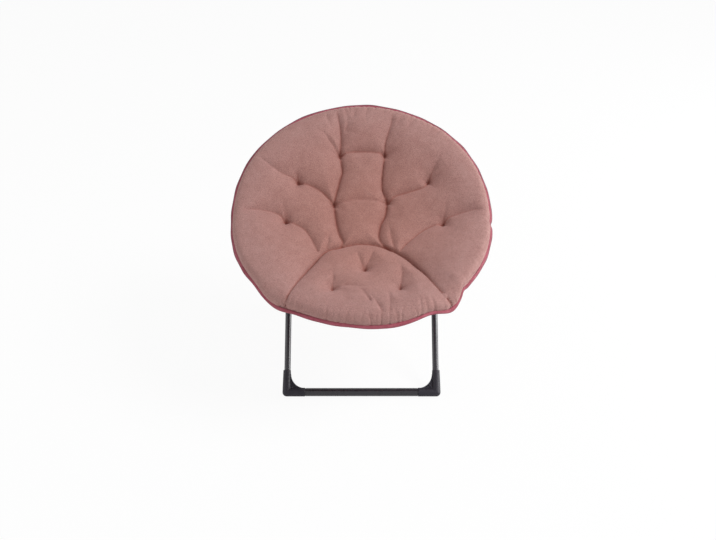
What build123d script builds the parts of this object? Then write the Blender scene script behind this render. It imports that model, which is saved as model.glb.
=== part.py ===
from build123d import *
import os
from math import atan2, cos, degrees, hypot, radians, sin, sqrt, tan

# Folding saucer chair. Millimetres. +X is the sitter's left (right in a front view), -Y the
# front, +Z up; the origin is on the floor under the middle of the chair's outer box.
# Names: "left" is -X and "right" is +X, as seen from the front.
os.makedirs("parts", exist_ok=True)

# ---------------------------------------------------------------- driving dimensions
RING_R = 365.0          # centreline radius of the round seat ring
PADDING = 5.5           # padding and binding outside the ring tube: 760 mm, 30 in, in all
TILT_FRONT = 16.0       # front hoop falls forward by this angle
TILT_BACK = 35.8        # back hoop rises backward by this angle
HINGE_Y = 26.52         # ring hinge axis, from the middle of the chair's box
HINGE_Z = 510.0         # ring hinge axis above the floor
FOLDED = 76.2           # angle left between the hoops when the chair is folded

TUBE_R = 9.5            # 19 mm tube of the ring and the uprights
TUBE_WALL = 1.2
BAR_R = 12.5            # 25 mm tube of the floor bars
BAR_Z = 12.9
FRONT_REACH = 203.0     # floor bars in front of and behind the hinge axis
BACK_REACH = 255.0
FOOT_ARM = 56.5         # length of the corner foot along the floor bar, in from the upright

LEG_IN = 136.5          # planes of the front leg's uprights, in from the ring's sides
LEG_STEP = 26.0         # the front leg runs this far inside the back leg
SCISSOR_Y = HINGE_Y + 97.0
SCISSOR_Z = 312.5
BEND_FRONT = 150.0      # bend radii of the uprights at the scissor rivet
BEND_BACK = 120.0

BRACKET_DROP = 27.0     # leg pivots below the ring tube's centreline
PLATE = 2.5             # bracket steel
EYE_T, EYE_R = 7.0, 12.0        # flattened leg ends
LEG_NECK, LEG_FLAT = 42.0, 17.0     # where the flattening starts and ends, down from the rivet
RING_EYE_T, RING_EYE_R = 5.0, 11.0   # flattened hoop ends
RIVET_R, RING_RIVET_R = 3.0, 3.5
HEAD_R, HEAD_T = 5.5, 2.2

RUNNING = 0.05          # radial clearance of a rivet that turns
SIDE = 0.5              # side clearance between an eye and a bracket ear
FACE = 0.1              # half the gap between sliding faces
SEAM = 0.3              # half the gap between the two halves of the soft seat

FOOT_TOP = 85.0         # length of the foot's upper socket along the upright
FOOT_SEAT = 17.0        # where the upright ends in the socket
FOOT_GUSSET = 38.0      # radius of the foot's inner corner
FOOT_RADIUS = 13.3

BOWL_DROP = 60.0        # bowl of the backing fabric under each hoop's plane
FABRIC = 2.0
CROWN_DROP = 31.0       # top of the cushion under the hoop's plane at the middle
CROWN_IN, CROWN_UP = 20.0, 25.0     # where the crown meets the rolled edge: in from the ring, up
BINDING = (5.6, 10.0)   # binding round the edge: thickness and height
BINDING_BELOW = 1.5     # middle of the binding below the underside of the ring tube
SLEEVE_DOWN = 4.0       # where the bowl meets the sleeve, below the hoop's plane
SKIRT_GAP = 0.2         # gap between the padding's lower edge and the binding
SLEEVE_FIT = 0.2        # play of the sleeve round the ring tube
POCKET_IN = 14.5        # room for the hinge in the soft parts: in from the ring, height, behind
POCKET_TALL = 25.0
POCKET_BEHIND = 5.5
LOOSE = 0.5             # clearance of the soft parts round brackets and hinges

# ---------------------------------------------------------------- derived layout
EDGE_R = RING_R + TUBE_R + PADDING
FRONT_X = RING_R - LEG_IN
BACK_X = FRONT_X + LEG_STEP
FRONT_BAR_Y = HINGE_Y - FRONT_REACH
BACK_BAR_Y = HINGE_Y + BACK_REACH
BAR_HALF = FRONT_X - FOOT_ARM       # half length of the front floor bar
CROWN_EDGE = (RING_R - CROWN_IN, CROWN_UP)
BINDING_AT = (EDGE_R - BINDING[0] / 2, -TUBE_R - BINDING_BELOW)
SKIRT_Z = BINDING_AT[1] + BINDING[1] / 2 + SKIRT_GAP    # lower edge of the padding outside
FAR = EDGE_R + 70.0                 # past the whole seat, for cuts that go right through
LOW, OUT = FAR - 150.0, FAR + 150.0
BACK_PLANE = Plane(
    origin=(0, HINGE_Y, HINGE_Z), x_dir=(1, 0, 0),
    z_dir=(0, -sin(radians(TILT_BACK)), cos(radians(TILT_BACK))),
)
FRONT_PLANE = Plane(
    origin=(0, HINGE_Y, HINGE_Z), x_dir=(-1, 0, 0),
    z_dir=(0, -sin(radians(TILT_FRONT)), cos(radians(TILT_FRONT))),
)
OPEN = 180.0 - (TILT_BACK - TILT_FRONT)         # angle between the hoops in use
SPLIT = 90.0 - (180.0 - OPEN) / 2               # bisector, from a hoop's plane
WEDGE = FOLDED / 2 - 2.0                        # room that a folded half has above its plane


def along(x):
    """Distance out from the hinge axis of the ring tube where it crosses the plane x."""
    return sqrt(RING_R**2 - x**2)


def pivot(plane, x):
    point = plane.from_local_coords((x, along(x), -BRACKET_DROP))
    return (point.Y, point.Z)


FRONT_PIVOT = pivot(BACK_PLANE, FRONT_X)        # front leg hangs on the back hoop
BACK_PIVOT = pivot(FRONT_PLANE, BACK_X)         # back leg hangs on the front hoop


def corner(start, end, radius):
    """Corner of a bent upright whose bend passes through the scissor rivet."""
    k = (SCISSOR_Y, SCISSOR_Z)
    for _ in range(40):
        a = Vector(start[0] - k[0], start[1] - k[1], 0).normalized()
        b = Vector(end[0] - k[0], end[1] - k[1], 0).normalized()
        half = radians(a.get_angle(b)) / 2
        m = (a + b).normalized() * radius * (1 / sin(half) - 1)
        k = (SCISSOR_Y - m.X, SCISSOR_Z - m.Y)
    return k


FRONT_START = (FRONT_BAR_Y, BAR_Z)
BACK_START = (BACK_BAR_Y, BAR_Z)
FRONT_CORNER = corner(FRONT_START, FRONT_PIVOT, BEND_FRONT)
BACK_CORNER = corner(BACK_START, BACK_PIVOT, BEND_BACK)


def toward(start, end, distance):
    length = hypot(end[0] - start[0], end[1] - start[1])
    s = distance / length
    return (start[0] + s * (end[0] - start[0]), start[1] + s * (end[1] - start[1]))


# ---------------------------------------------------------------- legs
def solid_rod(start, bend, end, radius, bend_radius, x):
    """Round rod along a bent path that lies in the plane x."""
    plane = Plane(origin=(x, 0, 0), x_dir=(0, 1, 0), z_dir=(1, 0, 0))
    with BuildPart(mode=Mode.PRIVATE) as rod:
        with BuildLine(plane) as path:
            FilletPolyline(start, bend, end, radius=bend_radius)
        edge = path.edges().sort_by_distance(plane.from_local_coords((*start, 0)))[0]
        aim = plane.from_local_coords((bend[0] - start[0], bend[1] - start[1], 0)) - Vector(x, 0, 0)
        with BuildSketch(Plane(origin=plane.from_local_coords((*start, 0)), z_dir=aim)):
            Circle(radius)
        sweep(path=path.line)
    return rod.part


def upright(start, bend, end, bend_radius, x):
    """Bent tube with its top end flattened to an eye, bored for its two rivets."""
    low = toward(start, bend, FOOT_SEAT)
    neck = toward(end, bend, LEG_NECK)
    flat = toward(end, bend, LEG_FLAT)
    aim = Vector(0, end[0] - bend[0], end[1] - bend[1]).normalized()
    cross = Vector(1, 0, 0)
    neck_plane = Plane(origin=(x, *neck), x_dir=cross, z_dir=aim)
    flat_plane = Plane(origin=(x, *flat), x_dir=cross, z_dir=aim)
    eye_plane = Plane(origin=(x, *end), x_dir=aim, z_dir=cross)
    outer = solid_rod(low, bend, neck, TUBE_R, bend_radius, x)
    inner = solid_rod(low, bend, neck, TUBE_R - TUBE_WALL, bend_radius, x)
    with BuildPart(mode=Mode.PRIVATE) as tube:
        add(outer)
        add(inner, mode=Mode.SUBTRACT)
        with BuildSketch(neck_plane):
            Circle(TUBE_R)
        with BuildSketch(flat_plane):
            SlotOverall(2 * EYE_R, EYE_T, rotation=90)
        loft()
        with BuildSketch(eye_plane.offset(-EYE_T / 2)):
            Circle(EYE_R)
            with Locations((-LEG_FLAT / 2, 0)):
                Rectangle(LEG_FLAT, 2 * EYE_R - 0.02)
        extrude(amount=EYE_T)
        with BuildSketch(eye_plane.offset(-EYE_T)):
            Circle(RIVET_R + RUNNING)
        extrude(amount=2 * EYE_T, mode=Mode.SUBTRACT)
        with BuildSketch(Plane.YZ.offset(x - 2 * TUBE_R)):
            with Locations((SCISSOR_Y, SCISSOR_Z)):
                Circle(RIVET_R)
        extrude(amount=4 * TUBE_R, mode=Mode.SUBTRACT)
    return tube.part


with BuildPart() as front_upright_right:
    add(upright(FRONT_START, FRONT_CORNER, FRONT_PIVOT, BEND_FRONT, FRONT_X))
with BuildPart() as front_upright_left:
    add(mirror(front_upright_right.part, about=Plane.YZ, mode=Mode.PRIVATE))
with BuildPart() as back_upright_right:
    add(upright(BACK_START, BACK_CORNER, BACK_PIVOT, BEND_BACK, BACK_X))
with BuildPart() as back_upright_left:
    add(mirror(back_upright_right.part, about=Plane.YZ, mode=Mode.PRIVATE))


def floor_bar(y, half):
    with BuildPart(mode=Mode.PRIVATE) as bar:
        with BuildSketch(Plane(origin=(-half, y, BAR_Z), z_dir=(1, 0, 0))):
            Circle(BAR_R)
            Circle(BAR_R - TUBE_WALL, mode=Mode.SUBTRACT)
        extrude(amount=2 * half)
    return bar.part


BACK_BAR_HALF = BAR_HALF + BACK_X - FRONT_X
with BuildPart() as front_floor_bar:
    add(floor_bar(FRONT_BAR_Y, BAR_HALF))
with BuildPart() as back_floor_bar:
    add(floor_bar(BACK_BAR_Y, BACK_BAR_HALF))


def corner_foot(start, bend, x, half):
    """Moulded corner: socket for the upright, arm and plug for the bar, ribbed gusset."""
    y, z = start
    lean = Vector(0, bend[0] - y, bend[1] - z).normalized()
    face = Vector(1, 0, 0).cross(lean)
    leg = Plane(origin=(0, y, z), x_dir=(1, 0, 0), z_dir=face)      # local y runs up the leg
    socket = Plane(origin=(x + 1.0, y, z), x_dir=(1, 0, 0), z_dir=lean)
    outer = x + 1.0 + FOOT_RADIUS
    with BuildPart(mode=Mode.PRIVATE) as foot:
        with BuildSketch(socket):
            Circle(FOOT_RADIUS)
        with BuildSketch(socket.offset(FOOT_TOP)):
            Circle(TUBE_R + 2.0)
        loft()
        with BuildSketch(Plane(origin=(half, y, z), z_dir=(1, 0, 0))):
            Circle(FOOT_RADIUS)
        extrude(amount=x + 1.0 - half)
        with Locations((x + 1.0, y, z)):
            Sphere(FOOT_RADIUS)
        inner, low = x + 1.0 - 10.0, 10.0
        for width, band in ((8.0, 30.0), (14.0, 3.0)):
            # gusset web, and the thicker rim along its concave edge
            with BuildSketch(leg.offset(-width / 2)):
                with BuildLine():
                    top = low + FOOT_GUSSET
                    Polyline((inner, top), (inner + 8, top), (inner + 8, 0),
                             (inner - FOOT_GUSSET, 0), (inner - FOOT_GUSSET, low))
                    RadiusArc((inner - FOOT_GUSSET, low), (inner, top), -FOOT_GUSSET)
                make_face()
                if band < 10:
                    with BuildLine():
                        cut = FOOT_GUSSET + band
                        Polyline((inner + band, top), (inner + 9, top), (inner + 9, -1),
                                 (inner - FOOT_GUSSET, -1), (inner - FOOT_GUSSET, low - band))
                        RadiusArc((inner - FOOT_GUSSET, low - band), (inner + band, top), -cut)
                    make_face(mode=Mode.SUBTRACT)
            extrude(amount=width)
        # diagonal stiffening rib across the gusset
        with BuildSketch(leg.offset(-6.0)):
            with Locations(Location((inner - 5.0, low + 5.0, 0), (0, 0, 135))):
                Rectangle(17.0, 3.0)
        extrude(amount=12.0)
        # plug that holds the floor bar
        with BuildSketch(Plane(origin=(half - 24.0, y, z), z_dir=(1, 0, 0))):
            Circle(BAR_R - TUBE_WALL)
        extrude(amount=26.0)
        # socket bore around the upright
        with BuildSketch(Plane(origin=(x, y, z), x_dir=(1, 0, 0), z_dir=lean).offset(FOOT_SEAT)):
            Circle(TUBE_R)
        extrude(amount=FOOT_TOP, mode=Mode.SUBTRACT)
        # flat sole on the floor
        with Locations((outer, y, -BAR_Z)):
            Box(4 * FOOT_TOP, 2 * FOOT_TOP, 2 * BAR_Z, mode=Mode.SUBTRACT)
    return foot.part


with BuildPart() as front_foot_right:
    add(corner_foot(FRONT_START, FRONT_CORNER, FRONT_X, BAR_HALF))
with BuildPart() as front_foot_left:
    add(mirror(front_foot_right.part, about=Plane.YZ, mode=Mode.PRIVATE))
with BuildPart() as back_foot_right:
    add(corner_foot(BACK_START, BACK_CORNER, BACK_X, BACK_BAR_HALF))
with BuildPart() as back_foot_left:
    add(mirror(back_foot_right.part, about=Plane.YZ, mode=Mode.PRIVATE))

# ---------------------------------------------------------------- scissor rivets
MEET = (FRONT_X + BACK_X) / 2       # the two spacers face each other in this plane


def x_pin(y, z, x_from, x_to, radius):
    """Round pin along X."""
    with BuildPart(mode=Mode.PRIVATE) as pin:
        with BuildSketch(Plane(origin=(min(x_from, x_to), y, z), z_dir=(1, 0, 0))):
            Circle(radius)
        extrude(amount=abs(x_to - x_from))
    return pin.part


def scissor_half(x, side, start, bend, end, bend_radius):
    """Rivet shank and head in one upright, with the spacer that faces the other leg."""
    tube = solid_rod(toward(start, bend, 60), bend, toward(end, bend, 60), TUBE_R, bend_radius, x)
    meet = MEET - side * FACE
    with BuildPart(mode=Mode.PRIVATE) as half:
        add(x_pin(SCISSOR_Y, SCISSOR_Z, x, meet, 7.5))
        add(x_pin(SCISSOR_Y, SCISSOR_Z, x, x - side * (TUBE_R + 1.0), HEAD_R))
        add(tube, mode=Mode.SUBTRACT)
        add(x_pin(SCISSOR_Y, SCISSOR_Z, x - side * (TUBE_R + 0.5), meet, RIVET_R))
        add(x_pin(SCISSOR_Y, SCISSOR_Z, x - side * TUBE_R, x - side * (TUBE_R + HEAD_T), HEAD_R))
    return half.part


INNER = scissor_half(FRONT_X, 1, FRONT_START, FRONT_CORNER, FRONT_PIVOT, BEND_FRONT)
OUTER = scissor_half(BACK_X, -1, BACK_START, BACK_CORNER, BACK_PIVOT, BEND_BACK)
with BuildPart() as scissor_rivets_inner:
    add(INNER)
    add(mirror(INNER, about=Plane.YZ, mode=Mode.PRIVATE))
with BuildPart() as scissor_rivets_outer:
    add(OUTER)
    add(mirror(OUTER, about=Plane.YZ, mode=Mode.PRIVATE))

# ---------------------------------------------------------------- hoops, in their own plane
# Local frame of a half ring: X across the chair, +Y out from the hinge axis, +Z to the sitter.
NECK = 42.0             # where the round tube ends and the flattening starts
FLAT = 22.0             # where the eye starts


def arc_section(angle):
    """Plane across the ring tube, with local x out along the radius and local y up."""
    a = radians(angle)
    return Plane(origin=(0, 0, 0), x_dir=(cos(a), sin(a), 0), z_dir=(sin(a), -cos(a), 0))


def half_hoop(eye_x):
    """Half ring of tube with flattened eyes centred on the planes +-eye_x."""
    first = degrees(atan2(NECK, along(NECK)))
    sweep_arc = 180.0 - 2 * first
    with BuildPart(mode=Mode.PRIVATE) as hoop:
        with BuildSketch(arc_section(first)):
            with Locations((RING_R, 0)):
                Circle(TUBE_R)
                Circle(TUBE_R - TUBE_WALL, mode=Mode.SUBTRACT)
        revolve(axis=Axis.Z, revolution_arc=sweep_arc)
    with BuildPart(mode=Mode.PRIVATE) as end:
        with BuildSketch(Plane(
            origin=(along(NECK), NECK, 0), x_dir=(0, 0, 1),
            z_dir=(sin(radians(first)), -cos(radians(first)), 0),
        )):
            Circle(TUBE_R)
        with BuildSketch(Plane(origin=(eye_x, FLAT, 0), x_dir=(0, 0, 1), z_dir=(0, -1, 0))):
            SlotOverall(2 * RING_EYE_R, RING_EYE_T)
        loft()
        with BuildSketch(Plane.YZ.offset(eye_x - RING_EYE_T / 2)):
            Circle(RING_EYE_R)
            with Locations((FLAT / 2, 0)):
                Rectangle(FLAT, 2 * RING_EYE_R - 0.02)
        extrude(amount=RING_EYE_T)
    with BuildPart(mode=Mode.PRIVATE) as whole:
        add(hoop.part)
        add(end.part)
        add(mirror(end.part, about=Plane.YZ, mode=Mode.PRIVATE))
    return whole.part


def placed(plane, shape):
    return plane.location * shape


INNER_EYE_X = RING_R - RING_EYE_T / 2 - FACE
OUTER_EYE_X = RING_R + RING_EYE_T / 2 + FACE


def bores(radius):
    with BuildPart(mode=Mode.PRIVATE) as bore:
        add(x_pin(HINGE_Y, HINGE_Z, -FAR, FAR, radius))
    return bore.part


with BuildPart() as back_hoop:
    add(placed(BACK_PLANE, half_hoop(OUTER_EYE_X)))
    add(bores(RING_RIVET_R), mode=Mode.SUBTRACT)
with BuildPart() as front_hoop:
    add(placed(FRONT_PLANE, half_hoop(INNER_EYE_X)))
    add(bores(RING_RIVET_R + RUNNING), mode=Mode.SUBTRACT)

with BuildPart() as ring_hinge_rivets:
    for s in (-1, 1):
        low = s * (RING_R - RING_EYE_T - FACE - 0.1)
        high = s * (RING_R + RING_EYE_T + FACE)
        add(x_pin(HINGE_Y, HINGE_Z, low, high, RING_RIVET_R))
        add(x_pin(HINGE_Y, HINGE_Z, low, low - s * HEAD_T, HEAD_R))
        add(x_pin(HINGE_Y, HINGE_Z, high, high + s * HEAD_T, HEAD_R))


# ---------------------------------------------------------------- leg brackets under the hoops
BRACKET_ARC = degrees(17.0 / RING_R)


def bracket(x):
    """Saddle under the ring tube with two ears that take the leg's eye between them."""
    a = degrees(atan2(along(x), x))
    ear = EYE_T / 2 + SIDE
    with BuildPart(mode=Mode.PRIVATE) as ring_tube:
        with BuildSketch(arc_section(a - 8)):
            with Locations((RING_R, 0)):
                Circle(TUBE_R)
        revolve(axis=Axis.Z, revolution_arc=16)
    with BuildPart(mode=Mode.PRIVATE) as saddle:
        with BuildSketch(arc_section(a - BRACKET_ARC)):
            with Locations((RING_R, 0)):
                Circle(TUBE_R + PLATE)
                Circle(TUBE_R, mode=Mode.SUBTRACT)
            with Locations((RING_R, 15.5)):
                Rectangle(60, 30, mode=Mode.SUBTRACT)
        revolve(axis=Axis.Z, revolution_arc=2 * BRACKET_ARC)
        for offset in (-ear - PLATE, ear):
            at = x + offset
            top = along(at + PLATE / 2)
            with BuildSketch(Plane.YZ.offset(at)):
                with Locations((along(x), -BRACKET_DROP)):
                    Circle(10.0)
                with Locations((top, -6.0)):
                    Circle(8.0)
                make_hull()
            extrude(amount=PLATE)
        add(ring_tube.part, mode=Mode.SUBTRACT)
        add(x_pin(along(x), -BRACKET_DROP, x - 40, x + 40, RIVET_R), mode=Mode.SUBTRACT)
    return saddle.part


def bracket_rivet(x):
    reach = EYE_T / 2 + SIDE + PLATE
    y, z = along(x), -BRACKET_DROP
    with BuildPart(mode=Mode.PRIVATE) as rivet:
        add(x_pin(y, z, x - reach, x + reach, RIVET_R))
        add(x_pin(y, z, x - reach - HEAD_T, x - reach, HEAD_R))
        add(x_pin(y, z, x + reach, x + reach + HEAD_T, HEAD_R))
    return rivet.part


BACK_BRACKET, FRONT_BRACKET = bracket(FRONT_X), bracket(-BACK_X)
with BuildPart() as back_bracket_right:
    add(placed(BACK_PLANE, BACK_BRACKET))
with BuildPart() as back_bracket_left:
    add(mirror(back_bracket_right.part, about=Plane.YZ, mode=Mode.PRIVATE))
with BuildPart() as front_bracket_right:
    add(placed(FRONT_PLANE, FRONT_BRACKET))
with BuildPart() as front_bracket_left:
    add(mirror(front_bracket_right.part, about=Plane.YZ, mode=Mode.PRIVATE))
with BuildPart() as back_bracket_rivets:
    add(placed(BACK_PLANE, bracket_rivet(FRONT_X)))
    add(placed(BACK_PLANE, bracket_rivet(-FRONT_X)))
with BuildPart() as front_bracket_rivets:
    add(placed(FRONT_PLANE, bracket_rivet(BACK_X)))
    add(placed(FRONT_PLANE, bracket_rivet(-BACK_X)))

# ---------------------------------------------------------------- soft seat, in a hoop's plane
SLEEVE_R = TUBE_R + FABRIC


def dome(edge, rise):
    """Radius of the sphere whose cap is edge wide from its middle and rises by rise."""
    return (edge**2 + rise**2) / (2 * rise)


BOWL_R = dome(RING_R - SLEEVE_R, BOWL_DROP - SLEEVE_DOWN)
CROWN_R = dome(RING_R - CROWN_IN, CROWN_DROP + CROWN_UP)


def sag(radius, level, r):
    """Height of a shallow spherical bowl at radius r, whose lowest point is at level."""
    return level + radius - sqrt(radius**2 - r**2)


def crown(x, y):
    return sag(CROWN_R, -CROWN_DROP, hypot(x, y))


# above the plane a half keeps inside WEDGE, below it inside the bisector, less the seam
with BuildPart(mode=Mode.PRIVATE) as KEEP:
    with BuildSketch(Plane.YZ.offset(-FAR)):
        with BuildLine():
            Polyline((SEAM, 0), (SEAM - LOW * tan(radians(90 - SPLIT)), -LOW), (OUT, -LOW),
                     (OUT, OUT * tan(radians(WEDGE))), (SEAM, 0))
        make_face()
    extrude(amount=2 * FAR)


def hinge_pocket(beyond):
    """Room in the soft parts for the flattened hoop ends and the hinge rivet."""
    far = NECK + LOOSE
    with BuildPart(mode=Mode.PRIVATE) as pocket:
        for s in (-1, 1):
            middle = RING_R + (beyond - POCKET_IN) / 2
            with Locations((s * middle, (far - POCKET_BEHIND) / 2, 0)):
                Box(POCKET_IN + beyond, far + POCKET_BEHIND, POCKET_TALL)
    return pocket.part


def bracket_notch(x):
    """Opening in the underside of the sleeve where a bracket sits on the tube."""
    a = degrees(atan2(along(x), x))
    with BuildPart(mode=Mode.PRIVATE) as notch:
        with BuildSketch(arc_section(a - BRACKET_ARC - 0.6)):
            with Locations((RING_R, 0)):
                Circle(TUBE_R + PLATE + LOOSE)
            with Locations((RING_R, -20.0)):
                Rectangle(28.0, 40.0)
            with Locations((RING_R, 16.0)):
                Rectangle(60, 30, mode=Mode.SUBTRACT)
        revolve(axis=Axis.Z, revolution_arc=2 * BRACKET_ARC + 1.2)
    return notch.part


def backing(x):
    """Backing fabric: a shallow bowl with a sleeve that wraps the ring tube."""
    with BuildPart(mode=Mode.PRIVATE) as shell:
        with BuildSketch(Plane.XZ):
            with BuildLine():
                end = RING_R - TUBE_R - 0.3
                low = sag(BOWL_R + FABRIC, -BOWL_DROP - FABRIC, end)
                high = sag(BOWL_R, -BOWL_DROP, end)
                mid = end / 2
                ThreePointArc((0, -BOWL_DROP - FABRIC),
                              (mid, sag(BOWL_R + FABRIC, -BOWL_DROP - FABRIC, mid)), (end, low))
                Line((end, low), (end, high))
                ThreePointArc((end, high), (mid, sag(BOWL_R, -BOWL_DROP, mid)), (0, -BOWL_DROP))
                Line((0, -BOWL_DROP), (0, -BOWL_DROP - FABRIC))
            make_face()
            with Locations((RING_R, 0)):
                Circle(SLEEVE_R)
                Circle(TUBE_R + SLEEVE_FIT, mode=Mode.SUBTRACT)
        revolve(axis=Axis.Z)
        add(KEEP.part, mode=Mode.INTERSECT)
        add(hinge_pocket(SLEEVE_R + 1.5), mode=Mode.SUBTRACT)
        add(bracket_notch(x), mode=Mode.SUBTRACT)
        add(bracket_notch(-x), mode=Mode.SUBTRACT)
    return shell.part


def piping():
    """Binding sewn round the outer edge."""
    with BuildPart(mode=Mode.PRIVATE) as cord:
        with BuildSketch(arc_section(0.3)):
            with Locations(BINDING_AT):
                SlotOverall(BINDING[1], BINDING[0], rotation=90)
        revolve(axis=Axis.Z, revolution_arc=179.4)
        add(KEEP.part, mode=Mode.INTERSECT)
    return cord.part


TUFT_BALL, TUFT_DEPTH = 46.0, 15.0
CREASE_R, CREASE_DEPTH = 11.0, 6.5
# tufts and creases as (across, out from the hinge axis), one side; the other is its mirror
BACK_TUFTS = [(68.0, 219.0), (78.0, 56.0), (197.0, 120.0), (231.0, 6.0)]
FRONT_TUFTS = [(91.0, 256.0), (231.0, 6.0)]
BACK_CREASES = [
    [(60.0, 344.0), (68.0, 219.0), (78.0, 56.0), (74.0, -10.0)],
    [(68.0, 219.0), (0.0, 222.0)],
    [(78.0, 56.0), (0.0, 50.0)],
    [(78.0, 56.0), (197.0, 120.0), (322.0, 168.0)],
    [(231.0, 6.0), (330.0, 14.0)],
]
FRONT_CREASES = [
    [(0.0, 67.0), (70.0, 87.0), (104.0, 106.0), (131.0, 140.0), (167.0, 206.0),
     (196.0, 272.0), (212.0, 302.0)],
    [(74.0, -10.0), (76.0, 90.0)],
    [(231.0, 6.0), (131.0, 140.0)],
    [(91.0, 256.0), (0.0, 166.0)],
    [(91.0, 256.0), (100.0, 318.0)],
]


def groove(points, sides=(1, -1)):
    """Round-bottomed crease along points on the crown."""
    with BuildPart(mode=Mode.PRIVATE) as cut:
        for side in sides:
            last = None
            for x, y in points:
                rise = CREASE_R - CREASE_DEPTH
                here = Vector(side * x, y, crown(x, y) + rise)
                with Locations(here):
                    Sphere(CREASE_R)
                if last is not None:
                    with BuildSketch(Plane(origin=last, z_dir=here - last)):
                        Circle(CREASE_R)
                    extrude(amount=(here - last).length)
                last = here
    return cut.part


def cushion(x, tufts, middle, creases):
    """Padded half of the seat: crown, rolled edge, sewn tufts and creases."""
    with BuildPart(mode=Mode.PRIVATE) as pad:
        with BuildSketch(Plane.XZ):
            with BuildLine():
                r0 = RING_R - sqrt(SLEEVE_R**2 - SLEEVE_DOWN**2)
                base = sag(BOWL_R, -BOWL_DROP, r0)
                mid = r0 / 2
                ThreePointArc((0, -BOWL_DROP), (mid, sag(BOWL_R, -BOWL_DROP, mid)), (r0, base))
                Line((r0, base), (RING_R, base))
                skirt = (EDGE_R - 1.8, SKIRT_Z)
                roll = (CROWN_EDGE[0] + 13.0, CROWN_UP + 2.2)
                Line((RING_R, base), (RING_R, SKIRT_Z))
                Line((RING_R, SKIRT_Z), skirt)
                ThreePointArc(skirt, (EDGE_R - 4.4, CROWN_UP - 8.0), roll)
                RadiusArc(roll, CROWN_EDGE, -30.0)
                half = CROWN_EDGE[0] / 2
                ThreePointArc(CROWN_EDGE, (half, crown(half, 0)), (0, -CROWN_DROP))
                Line((0, -CROWN_DROP), (0, -BOWL_DROP))
            make_face()
            with Locations((RING_R, 0)):
                Circle(SLEEVE_R, mode=Mode.SUBTRACT)
        revolve(axis=Axis.Z)
        add(KEEP.part, mode=Mode.INTERSECT)
        add(hinge_pocket(TUBE_R + 1.0), mode=Mode.SUBTRACT)
        add(bracket_notch(x), mode=Mode.SUBTRACT)
        add(bracket_notch(-x), mode=Mode.SUBTRACT)
        for line in creases:
            add(groove(line), mode=Mode.SUBTRACT)
        for tx, ty in [(s * a, b) for a, b in tufts for s in (-1, 1)] + middle:
            with Locations((tx, ty, crown(tx, ty) + TUFT_BALL - TUFT_DEPTH)):
                Sphere(TUFT_BALL, mode=Mode.SUBTRACT)
    return pad.part


def stitches(tufts):
    """Thread bars sewn down in the tufts, down to the backing fabric."""
    with BuildPart(mode=Mode.PRIVATE) as threads:
        for tx, ty in tufts:
            top = crown(tx, ty) - TUFT_DEPTH + 1.0
            low = sag(BOWL_R, -BOWL_DROP, hypot(tx, ty)) + 1.0
            with BuildSketch(Plane.XY.offset(low)):
                with Locations((tx, ty)):
                    Circle(1.5)
            extrude(amount=top - low)
    return threads.part


BACK_STITCHED = [(s * a, max(b, 6.0)) for a, b in BACK_TUFTS for s in (-1, 1)]
FRONT_STITCHED = [(s * 91.0, 256.0) for s in (-1, 1)] + [(0.0, 166.0)]

with BuildPart() as back_backing:
    add(placed(BACK_PLANE, backing(FRONT_X)))
with BuildPart() as front_backing:
    add(placed(FRONT_PLANE, backing(BACK_X)))
with BuildPart() as back_piping:
    add(placed(BACK_PLANE, piping()))
with BuildPart() as front_piping:
    add(placed(FRONT_PLANE, piping()))
with BuildPart() as back_tuft_stitches:
    add(placed(BACK_PLANE, stitches(BACK_STITCHED)))
with BuildPart() as front_tuft_stitches:
    add(placed(FRONT_PLANE, stitches(FRONT_STITCHED)))
with BuildPart() as back_cushion:
    add(placed(BACK_PLANE, cushion(FRONT_X, BACK_TUFTS, [], BACK_CREASES)))
    add(back_tuft_stitches.part, mode=Mode.SUBTRACT)
with BuildPart() as front_cushion:
    add(placed(FRONT_PLANE, cushion(BACK_X, FRONT_TUFTS, [(0.0, 166.0)], FRONT_CREASES)))
    add(front_tuft_stitches.part, mode=Mode.SUBTRACT)

# ---------------------------------------------------------------- export
front_upright_left.part.label = "front_upright_left"
front_upright_right.part.label = "front_upright_right"
back_upright_left.part.label = "back_upright_left"
back_upright_right.part.label = "back_upright_right"
front_floor_bar.part.label = "front_floor_bar"
back_floor_bar.part.label = "back_floor_bar"
front_foot_left.part.label = "front_foot_left"
front_foot_right.part.label = "front_foot_right"
back_foot_left.part.label = "back_foot_left"
back_foot_right.part.label = "back_foot_right"
scissor_rivets_inner.part.label = "scissor_rivets_inner"
scissor_rivets_outer.part.label = "scissor_rivets_outer"
back_hoop.part.label = "back_hoop"
front_hoop.part.label = "front_hoop"
ring_hinge_rivets.part.label = "ring_hinge_rivets"
back_bracket_left.part.label = "back_bracket_left"
back_bracket_right.part.label = "back_bracket_right"
front_bracket_left.part.label = "front_bracket_left"
front_bracket_right.part.label = "front_bracket_right"
back_bracket_rivets.part.label = "back_bracket_rivets"
front_bracket_rivets.part.label = "front_bracket_rivets"
back_backing.part.label = "back_backing"
front_backing.part.label = "front_backing"
back_piping.part.label = "back_piping"
front_piping.part.label = "front_piping"
back_tuft_stitches.part.label = "back_tuft_stitches"
front_tuft_stitches.part.label = "front_tuft_stitches"
back_cushion.part.label = "back_cushion"
front_cushion.part.label = "front_cushion"

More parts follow.
